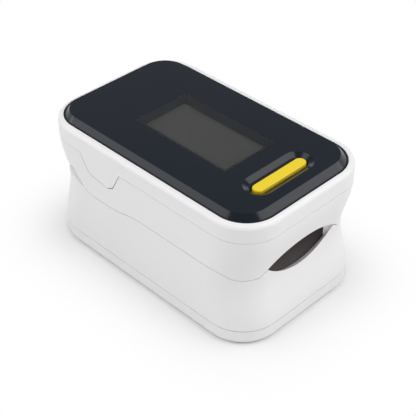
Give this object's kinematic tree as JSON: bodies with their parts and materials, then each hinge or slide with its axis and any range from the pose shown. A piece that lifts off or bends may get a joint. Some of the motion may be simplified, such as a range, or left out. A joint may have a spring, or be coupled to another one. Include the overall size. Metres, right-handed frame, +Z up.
{
  "type": "fingertip pulse oximeter",
  "caption": "Spring-loaded finger clip with a hinged upper jaw, dark display lens, long yellow key, padded finger channel and a sliding battery cover.",
  "frame": {"origin": "on the ground under the middle of the casing, battery cover down", "axes": "+X out of the finger mouth, along the casing's length; +Y across it; +Z up through the display"},
  "size_m": [0.0572, 0.0352, 0.0297],
  "materials": {
    "shell": "satin, fine moulded",
    "lens": "polished",
    "button": "satin",
    "pad": "matt silicone",
    "window": "clear red",
    "board": "solder mask",
    "chip": "moulded epoxy",
    "display": "polished glass",
    "holder": "moulded",
    "cell": "shrink sleeve",
    "steel": "nickel plated",
    "spring": "spring wire",
    "cable": "polyimide film",
    "led": "clear epoxy"
  },
  "bodies": {
    "lower_jaw": {"lower_shell": "shell", "lower_pad": "pad", "battery_cell_left": "cell", "battery_cell_right": "cell", "bridge_contact": "steel", "bridge_spring": "spring", "positive_contact": "steel", "negative_contact": "steel", "negative_spring": "spring", "detector_board": "board", "photodiode": "chip", "detector_window": "window", "hinge_pin": "steel", "torsion_spring_left": "spring", "torsion_spring_right": "spring", "ribbon_cable": "cable"},
    "upper_jaw": {"upper_frame": "shell", "upper_pad": "pad", "top_cover": "shell", "lens": "lens", "display_panel": "display", "display_holder": "holder", "main_board": "board", "board_screws": "steel", "controller_chip": "chip", "ribbon_connector": "holder", "emitter_board": "board", "emitter_leds": "led", "emitter_window": "window", "tact_switch": "steel"},
    "power_button": {"power_button": "button", "switch_plunger": "chip"},
    "battery_cover": {"battery_cover": "shell"}
  },
  "joints": [
    {"name": "jaw_hinge", "type": "hinge", "parent": "lower_jaw", "child": "upper_jaw", "pos_m": [-0.0164, 0, 0.0166], "axis": [0, -1, 0], "range_deg": [0, 11], "stiffness_Nm_per_rad": 0.15, "springref_deg": -20.05, "deforming": ["torsion_spring_left", "torsion_spring_right", "ribbon_cable"]},
    {"name": "power_button_press", "type": "slide", "parent": "upper_jaw", "child": "power_button", "axis": [0, 0, -1], "range_m": [0, 0.00035], "stiffness_N_per_m": 1500, "springref_m": -0.0005},
    {"name": "battery_cover_slide", "type": "slide", "parent": "lower_jaw", "child": "battery_cover", "axis": [-1, 0, 0], "range_m": [0, 0.0035]}
  ]
}
